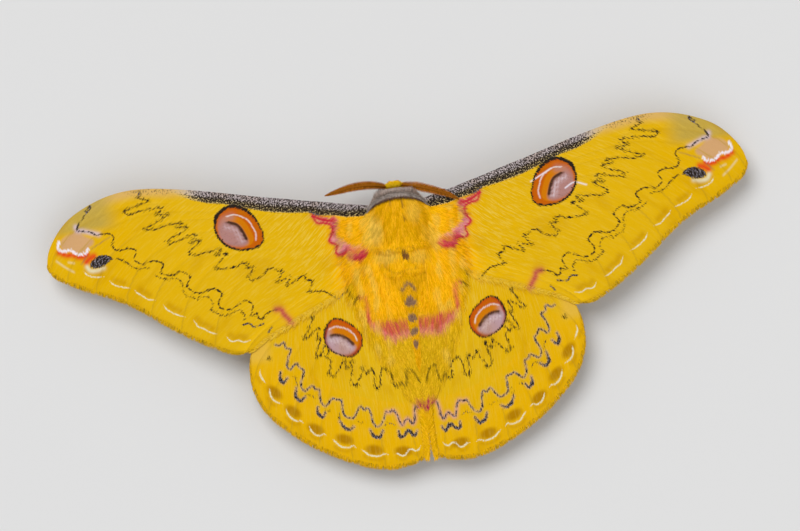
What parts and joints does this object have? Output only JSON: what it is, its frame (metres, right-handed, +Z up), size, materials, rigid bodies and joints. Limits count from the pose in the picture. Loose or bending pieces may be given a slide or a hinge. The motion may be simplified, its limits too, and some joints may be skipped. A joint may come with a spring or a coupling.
{
  "type": "emperor moth",
  "caption": "Life-size golden emperor moth at rest with its wings spread flat, standing on its legs, with ringed eyespots, wavy wing lines and comb-like feelers.",
  "frame": {"origin": "middle of the moth's bounding box at floor level, under the front of the abdomen", "axes": "+Y towards the head, +X towards the moth's right wing tip, +Z up from the floor it stands on"},
  "size_m": [0.0962, 0.0432, 0.0097],
  "materials": {
    "wing": "fine scales on a thin membrane, golden yellow",
    "fur": "dense soft golden fur",
    "collar": "short grey fur",
    "feeler": "fine brown-orange comb",
    "eye": "glossy dark, finely faceted",
    "leg": "short furry coat, yellow and rosy brown"
  },
  "bodies": {
    "root": {"head": "fur", "thorax": "fur", "abdomen": "fur", "collar": "collar", "eye_right": "eye", "eye_left": "eye", "palp_right": "leg", "palp_left": "leg", "antenna_right": "feeler", "antenna_left": "feeler", "forewing_right": "wing", "forewing_left": "wing", "hindwing_right": "wing", "hindwing_left": "wing", "foreleg_right": "leg", "foreleg_left": "leg", "midleg_right": "leg", "midleg_left": "leg", "hindleg_right": "leg", "hindleg_left": "leg"}
  },
  "joints": []
}
